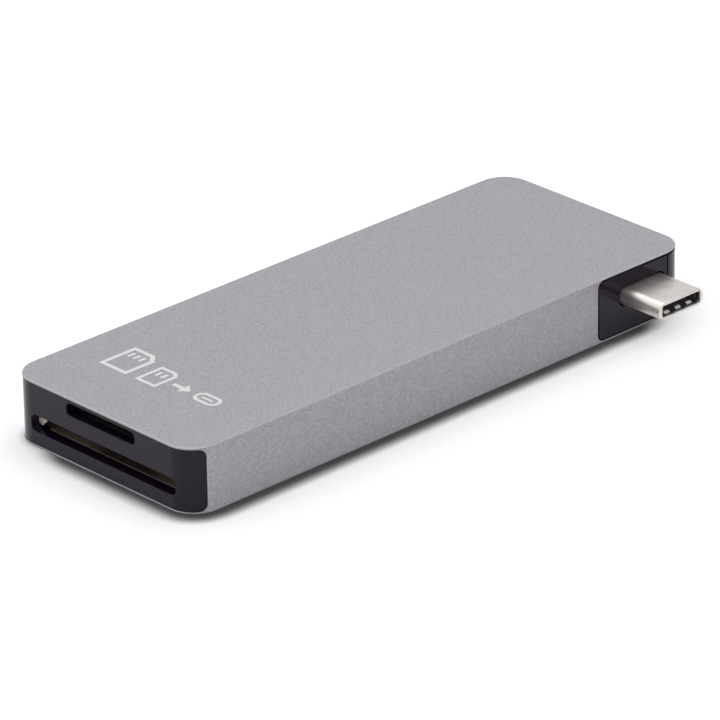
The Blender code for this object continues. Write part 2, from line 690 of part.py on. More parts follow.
def build_microsd_pin():
    """Bent wire: one leg turns in the base, the other rides in the slider's cam."""
    x, y = PIN_PIVOT
    wire = 0.24
    pin = prism("microsd_latch_pin", obround(x, y, wire, wire, 4), "Z", 6.9, 7.6)
    tip = prism("pin_tip", obround(PIN_TIP_X, y, wire, wire, 4), "Z", 7.02, 7.6)
    bar = box("pin_bar", x - wire / 2, PIN_TIP_X + wire / 2, y - wire / 2, y + wire / 2, 7.4, 7.62)
    join(pin, bar, tip)
    set_pivot(pin, x, y, 7.5)
    return paint(pin, *STEEL)


def build_microsd_spring():
    spring = coil("microsd_spring", (MICRO_X1 - 5.6, 6.05, 6.87), 4.75, 6.5, 0.38, 0.14)
    smooth(spring, 60)
    return paint(spring, *STEEL)


def build_microsd_contacts():
    reach = ((1.1, 5.77), (0.45, 5.77), (0.2, 6.42), (-1.8, 6.44), (-5.4, 6.8), (-6.0, 6.8), (-6.5, 6.5))
    outline = strip([(MICRO_X1 + u, v) for u, v in reach], 0.1)
    for k in range(MICRO_CONTACTS):
        y = MICRO_Y + (k - (MICRO_CONTACTS - 1) / 2) * MICRO_PITCH
        contact = prism(f"microsd_contact_{k + 1}", outline, "Y", y - 0.28, y + 0.28)
        paint(contact, *BRONZE)


def main():
    clear_scene()
    build_housing()
    build_card_end_cap()
    build_port_end_cap()
    build_plug_bezel()
    build_plug_shell()
    build_plug_insulator()
    build_ground_spring("plug_ground_spring_top", 1)
    build_ground_spring("plug_ground_spring_bottom", -1)
    build_plug_latch("plug_latch_1", -1)
    build_plug_latch("plug_latch_2", 1)
    build_main_board()
    build_board_parts()
    for k, x in enumerate(USB_A_X, start=1):
        build_usb_a_shell(f"usb_a_shell_{k}", x)
        build_usb_a_insulator(f"usb_a_insulator_{k}", x)
    build_usb_c_port()
    build_sd_base()
    build_sd_shell()
    build_sd_contacts()
    build_sd_lever("sd_detect_lever", DETECT_PIVOT)
    build_sd_lever("sd_write_protect_lever", PROTECT_PIVOT)
    build_microsd_base()
    build_microsd_shell()
    build_microsd_slider()
    build_microsd_spring()
    build_microsd_pin()
    build_microsd_contacts()


main()
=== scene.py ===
"""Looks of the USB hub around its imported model: materials, small parts, floor, lights and camera.

Lengths are millimetres unless a name says otherwise; MM turns them into metres.
"""

import math

import bmesh
import bpy
from mathutils import Matrix, Vector


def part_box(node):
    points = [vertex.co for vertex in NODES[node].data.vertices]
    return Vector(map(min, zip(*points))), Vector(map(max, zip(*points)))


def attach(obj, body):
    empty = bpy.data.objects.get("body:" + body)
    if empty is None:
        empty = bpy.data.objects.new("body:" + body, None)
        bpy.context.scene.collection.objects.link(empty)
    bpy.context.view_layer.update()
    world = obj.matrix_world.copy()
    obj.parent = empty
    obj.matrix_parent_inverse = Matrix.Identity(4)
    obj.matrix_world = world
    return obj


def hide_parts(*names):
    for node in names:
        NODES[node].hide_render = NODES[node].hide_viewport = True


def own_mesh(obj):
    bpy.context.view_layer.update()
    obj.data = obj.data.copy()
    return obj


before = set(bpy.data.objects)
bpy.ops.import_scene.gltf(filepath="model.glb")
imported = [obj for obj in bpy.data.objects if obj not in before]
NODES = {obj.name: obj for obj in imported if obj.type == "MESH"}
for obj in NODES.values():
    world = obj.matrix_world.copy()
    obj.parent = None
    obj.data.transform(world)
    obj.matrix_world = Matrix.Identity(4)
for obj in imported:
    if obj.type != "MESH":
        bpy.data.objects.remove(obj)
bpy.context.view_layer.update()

MM = 0.001


def box_mm(node):
    """A CAD node's lowest and highest corner in millimetres."""
    return tuple(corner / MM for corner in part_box(node))


def middle_mm(node):
    low, high = box_mm(node)
    return (low + high) / 2


# Places taken from the CAD nodes
TOP = box_mm("housing")[1].z
BOARD_TOP = box_mm("main_board")[1].z
PLUG = middle_mm("plug_shell")
PORT = middle_mm("usb_c_port_shell")

# Camera, at the photograph's angle
AZIMUTH, ELEVATION, ROLL = math.radians(-43.2824), math.radians(25.2456), math.radians(-0.9587)
CAMERA_DISTANCE, CAMERA_RIGHT, CAMERA_UP = 720.93, 0.3825, 1.1791
LENS, SENSOR = 284.04, 36.0
CLIP_NEAR, CLIP_FAR = 0.01, 20.0

# Light: a softbox overhead, tilted away from the camera, in a room that is brightest behind the object
BEHIND = (0.679, 0.734, 0.0)
LEFT = (-0.734, 0.679, 0.0)
SOFTBOX_TILT, SOFTBOX_WATTS = math.radians(11.0), 42.0
# The softbox's height above the floor and its side, in metres
SOFTBOX_HEIGHT, SOFTBOX_SIDE = 3.0, 4.0
ROOM = 0.105
ROOM_COLOUR = (0.985, 0.97, 1.0, 1.0)
# Parts of the room: a direction, where along it the light starts and is full, and how much it adds
STUDIO = (
    (BEHIND, -1.0, -0.55, 0.42),
    (BEHIND, 0.0, 0.8, 0.21),
    ((0.0, 0.0, 1.0), 0.3, 0.75, 0.45),
    (LEFT, 0.35, 0.9, 0.45),
)

# Floor: half its side in metres, how strongly it glows, so that no shadow on it is black, and how much
# of that glow the paper reflects less
FLOOR_HALF = 4.0
GLOW, GLOW_REPAID = 0.2, 0.83
# Painted shade on the floor, seen by the camera only, how near a thing has to be and how dark it gets: a
# wide one that looks up and away from the camera, full and ended that far to the camera's left and right,
# and a narrow one all round
SHADE_REACH, SHADE_DEPTH = 3.0, 0.95
SHADE_TOWARDS = (0.50, 0.70, 0.51)
SHADE_FULL, SHADE_END = 36.5, 41.0
CONTACT_REACH, CONTACT_DEPTH = 1.4, 0.35

# Boxes where a look paints light or shade, as the middle and half size along X, Y and Z: painted shade in
# the plug's bore, flat and at its round sides, and at the deep end of its mouth, and a painted bright
# line along the SD socket's floor
PLUG_BORES = (
    ((PLUG.x, 3.35), (-18.0, 5.25), (PLUG.z, 0.97)),
    ((PLUG.x, 3.9), (-18.0, 5.25), (PLUG.z, 0.5)),
)
PLUG_DEEP = ((PLUG.x, 3.9), (-18.0, 4.72), (PLUG.z, 0.97))
SOCKET_RIM = ((-40.95, 0.07), (0.0, 15.0), (2.0, 3.0))
# The SD socket's floor: between which X its painted shade at the mouth ends, and the middle of its darker
# stretch, with how far from there the stretch starts and stops to lighten
SOCKET_MOUTH = (-41.05, -40.98)
SOCKET_DARK_Y, SOCKET_DARK_HALF, SOCKET_LIGHT_FROM = -2.0, 3.0, 9.0


# Material nodes


class Look:
    """A material with a Principled shader, and short calls for the nodes that make its pattern."""

    def __init__(self, name, metallic=0.0, **sockets):
        self.material = bpy.data.materials.new(name)
        self.material.use_nodes = True
        self.tree = self.material.node_tree
        self.shader = self.tree.nodes["Principled BSDF"]
        self.shader.inputs["Metallic"].default_value = metallic
        for socket, value in sockets.items():
            self.shader.inputs[socket.replace("_", " ")].default_value = value
        self.place = self.node("ShaderNodeTexCoord").outputs["Object"]

    def node(self, kind, **settings):
        made = self.tree.nodes.new(kind)
        for key, value in settings.items():
            setattr(made, key, value)
        return made

    def link(self, source, target):
        self.tree.links.new(source, target)

    def put(self, target, value):
        """Links a node's output to an input, or sets a plain value on it."""
        if isinstance(value, bpy.types.NodeSocket):
            self.link(value, target)
        elif isinstance(value, tuple) and len(value) == 3 and target.type == "RGBA":
            target.default_value = (*value, 1.0)
        else:
            target.default_value = value

    def stretched(self, stretch):
        mapping = self.node("ShaderNodeMapping")
        mapping.inputs["Scale"].default_value = stretch
        self.link(self.place, mapping.inputs["Vector"])
        return mapping.outputs["Vector"]

    def noise(self, per_mm, stretch=None, detail=2.0, rough=0.5):
        """A noise from 0 to 1 with about per_mm features in a millimetre."""
        made = self.node("ShaderNodeTexNoise")
        made.inputs["Scale"].default_value = per_mm / MM
        made.inputs["Detail"].default_value = detail
        made.inputs["Roughness"].default_value = rough
        self.link(self.stretched(stretch) if stretch else self.place, made.inputs["Vector"])
        return made.outputs["Fac"]

    def cells(self, per_mm):
        """The distance from the middle of a cell, with about per_mm cells in a millimetre."""
        made = self.node("ShaderNodeTexVoronoi")
        made.inputs["Scale"].default_value = per_mm / MM
        self.link(self.place, made.inputs["Vector"])
        return made.outputs["Distance"]

    def span(self, value, low, high, start=0.3, end=0.7, smooth=False):
        """value from start to end becomes low to high."""
        made = self.node("ShaderNodeMapRange")
        made.interpolation_type = "SMOOTHSTEP" if smooth else "LINEAR"
        for socket, number in (("From Min", start), ("From Max", end), ("To Min", low), ("To Max", high)):
            made.inputs[socket].default_value = number
        self.link(value, made.inputs["Value"])
        return made.outputs["Result"]

    def combine(self, a, b, operation="ADD"):
        """The sum of two values, or what another operation makes of them."""
        made = self.node("ShaderNodeMath", operation=operation)
        self.put(made.inputs[0], a)
        self.put(made.inputs[1], b)
        return made.outputs["Value"]

    def blend(self, amount, a, b):
        """Colour a where amount is 0, and b where it is 1."""
        made = self.node("ShaderNodeMix", data_type="RGBA")
        self.put(made.inputs["Factor"], amount)
        self.put(made.inputs[6], a)
        self.put(made.inputs[7], b)
        return made.outputs[2]

    def apart(self):
        """The place's X, Y and Z, in metres."""
        made = self.node("ShaderNodeSeparateXYZ")
        self.link(self.place, made.inputs["Vector"])
        return made.outputs

    def edges(self, radius, gain=6.0):
        """0 away from the edges, and more than 1 on a sharp one, convex or concave."""
        rounded = self.node("ShaderNodeBevel", samples=4)
        rounded.inputs["Radius"].default_value = radius * MM
        flat = self.node("ShaderNodeNewGeometry")
        dot = self.node("ShaderNodeVectorMath", operation="DOT_PRODUCT")
        self.link(rounded.outputs["Normal"], dot.inputs[0])
        self.link(flat.outputs["Normal"], dot.inputs[1])
        return self.span(dot.outputs["Value"], gain, 0.0, 0.0, 1.0)

    def within(self, box):
        """1 inside a box, given as the middle and half size along X, Y and Z in millimetres."""
        apart = self.apart()
        total = 1.0
        for axis, (middle, half) in zip("XYZ", box):
            near = self.node("ShaderNodeMath", operation="COMPARE")
            self.link(apart[axis], near.inputs[0])
            near.inputs[1].default_value = middle * MM
            near.inputs[2].default_value = half * MM
            total = self.combine(near.outputs["Value"], total, "MULTIPLY")
        return total

    def painted_gap_shade(self, reach, open_from=0.75):
        """1 deep in a gap narrower than reach millimetres, 0 in the open: where a look paints shade."""
        near = self.node("ShaderNodeAmbientOcclusion", samples=8)
        near.inputs["Distance"].default_value = reach * MM
        return self.span(near.outputs["AO"], 1.0, 0.0, 0.15, open_from)

    def colour(self, value):
        self.put(self.shader.inputs["Base Color"], value)

    def roughness(self, value):
        self.put(self.shader.inputs["Roughness"], value)

    def bump(self, height, depth, strength=1.0, rounding=None):
        """Fine relief, depth in millimetres, on edges rounded by the radius that is given."""
        made = self.node("ShaderNodeBump")
        made.inputs["Strength"].default_value = strength
        made.inputs["Distance"].default_value = depth * MM
        self.link(height, made.inputs["Height"])
        if rounding:
            edge = self.node("ShaderNodeBevel", samples=4)
            edge.inputs["Radius"].default_value = rounding * MM
            self.link(edge.outputs["Normal"], made.inputs["Normal"])
        self.link(made.outputs["Normal"], self.shader.inputs["Normal"])


# Materials


def anodised_look():
    """Bead-blasted aluminium, dyed grey: a fine even grain with a faint cloudiness, a painted highlight
    on its edges and painted shade in its gaps.
    """
    look = Look("anodised", metallic=0.9)
    grain = look.noise(2.6, detail=3.0, rough=0.7)
    fine = look.noise(5.5, detail=2.0, rough=0.6)
    cloud = look.noise(0.05, detail=3.0)
    sparkle = look.span(look.combine(grain, fine), 0.0, 1.0, 0.8, 1.2)
    base = look.blend(sparkle, (0.286, 0.279, 0.295), (0.43, 0.42, 0.442))
    tint = look.blend(look.span(cloud, 0.0, 0.1), base, (0.357, 0.347, 0.365))
    # Painted highlight: a lighter colour along the edges.
    wear_and_highlight = look.blend(look.edges(0.3), tint, (0.50, 0.49, 0.51))
    # Painted shade: the colour goes near black deep in gaps.
    look.colour(look.blend(look.painted_gap_shade(0.7), wear_and_highlight, (0.02, 0.019, 0.022)))
    look.roughness(look.span(grain, 0.42, 0.56))
    look.bump(look.combine(grain, fine), 0.005, 0.8, rounding=0.22)
    return look.material


def black_look():
    """Glossy black plastic with a faint moulding ripple and fine wipe marks, and painted shade: no
    reflection deep in gaps.
    """
    look = Look("black_gloss")
    ripple = look.noise(0.25, detail=2.0)
    wipes = look.noise(1.6, detail=4.0, rough=0.7)
    dust = look.span(look.noise(3.5, detail=4.0, rough=0.75), 0.0, 1.0, 0.66, 0.84)
    look.colour(look.blend(dust, (0.0092, 0.0048, 0.0148), (0.019, 0.017, 0.022)))
    # Painted shade: the reflection fades out deep in gaps and corners.
    shine = look.span(look.painted_gap_shade(1.6, 0.6), 0.22, 0.0, 0.0, 1.0)
    look.put(look.shader.inputs["Specular IOR Level"], shine)
    look.roughness(look.span(wipes, 0.09, 0.15))
    look.bump(ripple, 0.002, 0.3, rounding=0.05)
    return look.material


def nickel_look():
    """Drawn nickel-plated shell: satin, with faint draw lines along the plug, and painted shade inside
    its bore.
    """
    look = Look("nickel", metallic=0.9)
    drawn = look.noise(1.6, (1.0, 0.12, 1.0), 2.0)
    smear = look.noise(0.5, detail=3.0)
    bare = look.blend(look.span(smear, 0.0, 1.0), (0.63, 0.60, 0.56), (0.71, 0.685, 0.64))
    # Painted shade: the shell goes near black inside its bore.
    inside = look.combine(look.within(PLUG_BORES[0]), look.within(PLUG_BORES[1]), "MAXIMUM")
    look.colour(look.blend(inside, bare, (0.02, 0.018, 0.022)))
    look.roughness(look.combine(look.span(drawn, 0.285, 0.3), look.span(smear, 0.0, 0.04)))
    look.bump(smear, 0.0005, 0.1)
    return look.material


def steel_look():
    """Stamped stainless strip with fine rolling lines."""
    look = Look("steel", metallic=1.0)
    rolled = look.noise(9.0, (0.08, 1.0, 1.0), 3.0, 0.65)
    stain = look.noise(0.35, detail=4.0)
    look.colour(look.blend(look.span(stain, 0.0, 1.0), (0.48, 0.465, 0.44), (0.62, 0.605, 0.58)))
    look.roughness(look.span(rolled, 0.2, 0.36))
    look.bump(rolled, 0.002, 0.6, rounding=0.03)
    return look.material


def socket_steel_look():
    """The warm metal of the SD socket's shell: darker between its ends, a painted bright line and painted
    shade at its mouth.
    """
    look = Look("socket_steel", metallic=0.35)
    rolled = look.noise(7.0, (1.0, 0.08, 1.0), 3.0, 0.65)
    stain = look.span(look.noise(0.25, detail=4.0), 0.0, 1.0)
    apart = look.apart()
    across = look.combine(look.combine(apart["Y"], -SOCKET_DARK_Y * MM), 0.0, "ABSOLUTE")
    ends = look.span(across, 0.0, 1.0, SOCKET_DARK_HALF * MM, SOCKET_LIGHT_FROM * MM, smooth=True)
    # Darker in the middle of its width, lighter towards its ends.
    darker_middle = look.blend(stain, (0.078, 0.058, 0.042), (0.115, 0.094, 0.072))
    lighter_ends = look.blend(stain, (0.36, 0.275, 0.20), (0.48, 0.40, 0.32))
    # Painted highlight: a bright line along the floor, near its front edge.
    rim = look.blend(look.within(SOCKET_RIM), look.blend(ends, darker_middle, lighter_ends), (0.85, 0.78, 0.68))
    start, end = SOCKET_MOUTH
    # Painted shade: near black at the mouth, in front of the bright line.
    mouth = look.span(apart["X"], 1.0, 0.0, start * MM, end * MM)
    look.colour(look.blend(mouth, rim, (0.012, 0.011, 0.013)))
    look.roughness(look.span(rolled, 0.36, 0.52))
    look.bump(rolled, 0.002, 0.6, rounding=0.03)
    return look.material


def spring_look():
    """The plug's ground springs: bright plated strip, with painted shade where its mouth is deep."""
    look = Look("bright_spring", metallic=0.55)
    rolled = look.noise(6.0, (1.0, 0.2, 1.0), 3.0)
    bright = look.blend(look.span(rolled, 0.0, 1.0), (0.50, 0.49, 0.475), (0.64, 0.63, 0.61))
    # Painted shade: near black where the plug's mouth is deep.
    look.colour(look.blend(look.within(PLUG_DEEP), bright, (0.03, 0.027, 0.033)))
    look.roughness(look.span(rolled, 0.35, 0.5))
    look.bump(rolled, 0.001, 0.3, rounding=0.02)
    return look.material


def cream_metal_look():
    """The socket shell's bright turned-down ear."""
    look = Look("cream_metal", metallic=0.3)
    rolled = look.noise(5.0, (1.0, 1.0, 0.2), 3.0)
    look.colour(look.blend(look.span(rolled, 0.0, 1.0), (0.58, 0.53, 0.42), (0.78, 0.73, 0.62)))
    look.roughness(look.span(rolled, 0.4, 0.55))
    look.bump(rolled, 0.001, 0.3)
    return look.material


def bronze_look():
    """Spring bronze, gold plated where it touches."""
    look = Look("bronze", metallic=1.0)
    rolled = look.noise(10.0, (0.1, 1.0, 1.0), 3.0)
    patch = look.noise(0.8, detail=3.0)
    look.colour(look.blend(look.span(patch, 0.0, 1.0), (0.80, 0.55, 0.23), (0.92, 0.70, 0.36)))
    look.roughness(look.span(rolled, 0.16, 0.32))
    look.bump(rolled, 0.001, 0.5, rounding=0.02)
    return look.material


def gold_look():
    """Hard gold plating over nickel, on the ports' flat contacts."""
    look = Look("gold", metallic=1.0)
    wear_and_highlight = look.noise(1.5, detail=4.0, rough=0.7)
    look.colour(look.blend(look.span(wear_and_highlight, 0.0, 1.0), (0.90, 0.64, 0.26), (0.96, 0.75, 0.40)))
    look.roughness(look.span(wear_and_highlight, 0.14, 0.28))
    look.bump(wear_and_highlight, 0.001, 0.5)
    return look.material


def plastic_look(name, dark, light, rough, flow=(1.0, 1.0, 1.0)):
    """Glass-filled moulding compound: a matte skin with short fibre flecks."""
    look = Look(name)
    fleck = look.noise(9.0, flow, 3.0, 0.7)
    mottle = look.noise(0.7, detail=3.0)
    shade = look.combine(look.span(fleck, 0.0, 0.6), look.span(mottle, 0.0, 0.4))
    look.colour(look.blend(shade, dark, light))
    look.roughness(look.span(fleck, rough - 0.07, rough + 0.07))
    look.bump(fleck, 0.003, 0.5, rounding=0.04)
    return look.material


def board_look():
    """Green solder mask: the laminate's weave and the copper show faintly through it."""
    look = Look("solder_mask", Coat_Weight=0.4, Coat_Roughness=0.12)
    weave = look.combine(look.noise(1.2, (1.0, 0.12, 1.0)), look.noise(1.2, (0.12, 1.0, 1.0)), "MULTIPLY")
    mottle = look.noise(0.4, detail=3.0)
    shade = look.span(look.combine(weave, mottle), 0.0, 1.0, 0.5, 0.95)
    look.colour(look.blend(shade, (0.004, 0.035, 0.014), (0.012, 0.085, 0.032)))
    look.roughness(look.span(mottle, 0.26, 0.4))
    look.bump(weave, 0.004, 0.4)
    return look.material


def tin_look():
    """Reflowed solder and tinned ends."""
    look = Look("tin", metallic=1.0)
    crystal = look.cells(5.0)
    cloud = look.noise(2.0, detail=3.0)
    look.colour(look.blend(look.span(cloud, 0.0, 1.0), (0.58, 0.59, 0.60), (0.74, 0.75, 0.76)))
    look.roughness(look.span(crystal, 0.22, 0.42, 0.0, 0.8))
    look.bump(crystal, 0.004, 0.4)
    return look.material


def print_look():
    """Light pad-printed ink, a little uneven where the blasted metal shows through."""
    look = Look("print_ink")
    grain = look.noise(9.0, detail=3.0, rough=0.7)
    look.colour(look.blend(look.span(grain, 0.0, 1.0), (0.54, 0.53, 0.525), (0.66, 0.65, 0.64)))
    look.roughness(look.span(grain, 0.45, 0.65))
    look.bump(grain, 0.003, 0.4)
    return look.material


def floor_shade(look, reach, depth, normal=None):
    """How much of the floor's light is lost to what stands closer than reach, up to depth."""
    near = look.node("ShaderNodeAmbientOcclusion", samples=16)
    near.inputs["Distance"].default_value = reach * MM
    if normal:
        look.link(normal, near.inputs["Normal"])
    return look.span(near.outputs["AO"], depth, 0.0, 0.5, 1.0, smooth=True)


def floor_look():
    """Smooth white paper with a painted shadow, seen by the camera only, that deepens where something
    stands close above it.
    """
    look = Look("floor_paper")
    fibre = look.noise(0.6, detail=4.0, rough=0.7)
    paper = look.blend(look.span(fibre, 0.0, 1.0), (0.90, 0.90, 0.90), (0.93, 0.93, 0.93))
    look.shader.inputs["Emission Strength"].default_value = GLOW
    towards = look.node("ShaderNodeCombineXYZ")
    for socket, number in zip("XYZ", SHADE_TOWARDS):
        towards.inputs[socket].default_value = number
    shade = floor_shade(look, SHADE_REACH, SHADE_DEPTH, towards.outputs["Vector"])
    contact = floor_shade(look, CONTACT_REACH, CONTACT_DEPTH)
    along = look.node("ShaderNodeVectorMath", operation="DOT_PRODUCT")
    along.inputs[1].default_value = LEFT
    look.link(look.place, along.inputs[0])
    away = look.combine(along.outputs["Value"], 0.0, "ABSOLUTE")
    fade = look.span(away, 1.0, 0.0, SHADE_FULL * MM, SHADE_END * MM, smooth=True)
    seen = look.node("ShaderNodeLightPath").outputs["Is Camera Ray"]
    darkest = look.combine(look.combine(shade, fade, "MULTIPLY"), contact, "MAXIMUM")
    amount = look.combine(darkest, seen, "MULTIPLY")
    lit = look.blend(amount, paper, (0.01, 0.011, 0.01))
    look.put(look.shader.inputs["Emission Color"], lit)
    look.colour(look.blend(GLOW_REPAID * GLOW, lit, (0.0, 0.0, 0.0)))
    look.roughness(look.span(fibre, 0.85, 0.95))
    look.bump(fibre, 0.01, 0.2)
    return look.material


# Materials that several pieces share
GOLD, TIN, STEEL = gold_look(), tin_look(), steel_look()

# Shading of the CAD nodes: the angle of a crease, in degrees, and how near points are one, in metres
CREASE, ONE_POINT = 28.0, 1e-6
FLAT_WEIGHT = 90


def dress(node, material):
    """Gives a CAD node its material and smooth shading away from its creases."""
    obj = NODES[node]
    obj.data.materials.clear()
    obj.data.materials.append(material)
    for polygon in obj.data.polygons:
        polygon.use_smooth = True
    weld = obj.modifiers.new("Weld", "WELD")
    weld.merge_threshold = ONE_POINT
    split = obj.modifiers.new("Creases", "EDGE_SPLIT")
    split.split_angle = math.radians(CREASE)
    weighted = obj.modifiers.new("Flats", "WEIGHTED_NORMAL")
    weighted.mode = "FACE_AREA_WITH_ANGLE"
    weighted.weight = FLAT_WEIGHT


def dress_all():
    """Every CAD node's material. The plug casts no shadow, so that the floor's shade follows the body."""
    sd = [f"sd_contact_{k}" for k in range(1, 10)]
    micro = [f"microsd_contact_{k}" for k in range(1, 9)]
    moulding = plastic_look("moulding", (0.014, 0.014, 0.015), (0.03, 0.03, 0.032), 0.5)
    # A darker copy of the moulding, for the plug's insulator: painted shade, since the plug's shell casts
    # no shadow on it.
    plug_moulding_shaded = plastic_look("plug_moulding_shaded", (0.003, 0.002, 0.005), (0.006, 0.005, 0.009), 0.5)
    chip = plastic_look("chip_epoxy", (0.012, 0.012, 0.013), (0.028, 0.028, 0.03), 0.56)
    blue = plastic_look("usb_blue", (0.006, 0.05, 0.30), (0.012, 0.085, 0.42), 0.4)
    ceramic = plastic_look("ceramic", (0.16, 0.10, 0.055), (0.26, 0.17, 0.10), 0.42)
    looks = (
        (anodised_look(), ["housing"]),
        (black_look(), ["card_end_cap", "port_end_cap", "plug_bezel"]),
        (nickel_look(), ["plug_shell"]),
        (spring_look(), ["plug_ground_spring_top", "plug_ground_spring_bottom"]),
        (plug_moulding_shaded, ["plug_insulator"]),
        (
            STEEL,
            [
                "plug_latch_1",
                "plug_latch_2",
                "microsd_shell",
                "microsd_latch_pin",
                "usb_a_shell_1",
                "usb_a_shell_2",
                "usb_c_port_shell",
                "hub_crystal",
                "reader_crystal",
            ],
        ),
        (socket_steel_look(), ["sd_socket_shell"]),
        (bronze_look(), sd + micro + ["sd_detect_lever", "sd_write_protect_lever"]),
        (moulding, ["sd_socket_base", "microsd_base", "usb_c_port_insulator"]),
        (plastic_look("ivory", (0.42, 0.37, 0.28), (0.56, 0.51, 0.41), 0.5), ["microsd_slider"]),
        (blue, ["usb_a_insulator_1", "usb_a_insulator_2"]),
        (board_look(), ["main_board"]),
        (chip, ["hub_controller", "card_reader_chip", "power_controller", "power_switch"]),
        (ceramic, ["bulk_capacitor_1", "bulk_capacitor_2"]),
        (plastic_look("ferrite", (0.03, 0.03, 0.034), (0.07, 0.07, 0.076), 0.62), ["power_inductor"]),
        (plastic_look("thermal_pad", (0.14, 0.21, 0.30), (0.20, 0.29, 0.40), 0.8), ["thermal_pad"]),
    )
    for material, nodes in looks:
        for node in nodes:
            dress(node, material)
    for node in NODES:
        if node.startswith("plug_") and node != "plug_bezel":
            NODES[node].visible_shadow = False
            NODES[node].visible_diffuse = False


# Pieces too small for the solids. All of them ride on the hub's own body.

# The print on the top face: the Y that its reading line starts at, the X of its foot, and the gap under
# the ink and its height above the metal
PRINT_START, PRINT_FOOT, PRINT_GAP, PRINT_T = 11.2, -34.0, 0.001, 0.02
# The USB-A ports' tongues, flat underneath, and half the thickness of the USB-C port's tongue
USB_A_TONGUE_Z, PORT_TONGUE_HALF = 4.5, 0.35
# The gap between a contact and its tongue, and the board and what stands on it
CONTACT_GAP, PAD_GAP, PASSIVE_GAP = 0.005, 0.003, 0.03
# The microSD socket's spring: its axis, its free end and its fixed end, its coil and its travel
SPRING_Y, SPRING_Z, SPRING_FREE, SPRING_FIXED = 6.05, 6.87, -31.2, -26.45
SPRING_TURNS, SPRING_R, SPRING_WIRE_R, SPRING_TRAVEL = 6.5, 0.38, 0.07, 1.3
# How much closer the spring's turns lie at its ends than in its middle
SPRING_CROWD = 0.6


def prism(bm, outline, low, high, put, hole=None, material=0):
    """Adds a plate from low to high. put turns (u, v, height) into x, y and z in millimetres."""
    rings = []
    for loop in [outline, hole] if hole else [outline]:
        rings.append([[bm.verts.new(Vector(put(u, v, w)) * MM) for u, v in loop] for w in (low, high)])
    made = []
    count = len(outline)
    for k in range(count):
        n = (k + 1) % count
        for foot, head in rings:
            made.append(bm.faces.new((foot[k], foot[n], head[n], head[k])))
        if hole:
            for outer, inner in zip(*rings):
                made.append(bm.faces.new((outer[k], outer[n], inner[n], inner[k])))
    if not hole:
        made += [bm.faces.new(ring) for ring in rings[0]]
    for face in made:
        face.material_index = material


def finish_piece(name, bm, *materials):
    """Makes a piece of the hub's body from a bmesh."""
    bmesh.ops.recalc_face_normals(bm, faces=bm.faces)
    mesh = bpy.data.meshes.new(name)
    bm.to_mesh(mesh)
    bm.free()
    for material in materials:
        mesh.materials.append(material)
    made = bpy.data.objects.new(name, mesh)
    bpy.context.scene.collection.objects.link(made)
    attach(made, "hub")
    return made


def plan(u, v, w):
    """Drawn in X and Y, thick along Z."""
    return u, v, w


def end_view(u, v, w):
    """Drawn in Y and Z, thick along X."""
    return w, u, v


def side_view(u, v, w):
    """Drawn in X and Z, thick along Y."""
    return u, w, v


def cut_corner_rectangle(u, v, wide, tall, cut, inset=0.0):
    """A card's outline, with its last corner cut off, drawn in by inset."""
    lean = cut + inset * (math.sqrt(2.0) - 1.0)
    return (
        (u + inset, v + inset),
        (u + wide - inset, v + inset),
        (u + wide - inset, v + tall - lean),
        (u + wide - lean, v + tall - inset),
        (u + inset, v + tall - inset),
    )


def round_rectangle(u, v, wide, tall, radius, steps=6):
    """A rectangle from its corner at u, v, with rounded corners of that many steps."""
    points = []
    for k, (du, dv) in enumerate(((1, 0), (1, 1), (0, 1), (0, 0))):
        cu = u + (wide - radius if du else radius)
        cv = v + (tall - radius if dv else radius)
        for step in range(steps + 1):
            angle = math.radians(-90 + 90 * k + 90 * step / steps)
            points.append((cu + radius * math.cos(angle), cv + radius * math.sin(angle)))
    return points


def build_print():
    """Plain pictograms of two cards, an arrow and a port."""
    ink = print_look()

    def on_top(u, v, w):
        return PRINT_FOOT + v, PRINT_START - u, w

    low, high = TOP + PRINT_GAP, TOP + PRINT_T
    foot, margin_u, margin_v = 0.1, 0.45, 0.5
    pin_wide, pin_tall, pin_step, pin_r = 0.5, 1.2, 1.0, 0.15
    for name, u, wide, tall, cut, line, pins in (
        ("print_large_card", 0.6, 5.0, 6.1, 1.3, 0.62, 3),
        ("print_small_card", 7.2, 3.7, 4.7, 0.9, 0.55, 2),
    ):
        bm = bmesh.new()
        hole = cut_corner_rectangle(u, foot, wide, tall, cut, line)
        prism(bm, cut_corner_rectangle(u, foot, wide, tall, cut), low, high, on_top, hole)
        for k in range(pins):
            pin_u, pin_v = u + line + margin_u + pin_step * k, tall - line - margin_v - pin_tall
            prism(bm, round_rectangle(pin_u, pin_v, pin_wide, pin_tall, pin_r), low, high, on_top)
        finish_piece(name, bm, ink)
    bm = bmesh.new()
    tail, neck, tip, middle, half, barb = 11.9, 13.6, 15.0, 2.4, 0.34, 1.15
    arrow = [(tail, middle - half), (neck, middle - half), (neck, middle - barb), (tip, middle)]
    arrow += [(neck, middle + barb), (neck, middle + half), (tail, middle + half)]
    prism(bm, arrow, low, high, on_top)
    finish_piece("print_arrow", bm, ink)
    bm = bmesh.new()
    u, v, wide, tall, line = 16.0, 1.2, 4.2, 2.4, 0.5
    hole = round_rectangle(u + line, v + line, wide - 2 * line, tall - 2 * line, tall / 2 - line)
    prism(bm, round_rectangle(u, v, wide, tall, tall / 2), low, high, on_top, hole)
    tongue, thick = 2.0, 0.36
    bar = round_rectangle(u + (wide - tongue) / 2, v + (tall - thick) / 2, tongue, thick, 0.17)
    prism(bm, bar, low, high, on_top)
    finish_piece("print_port", bm, ink)


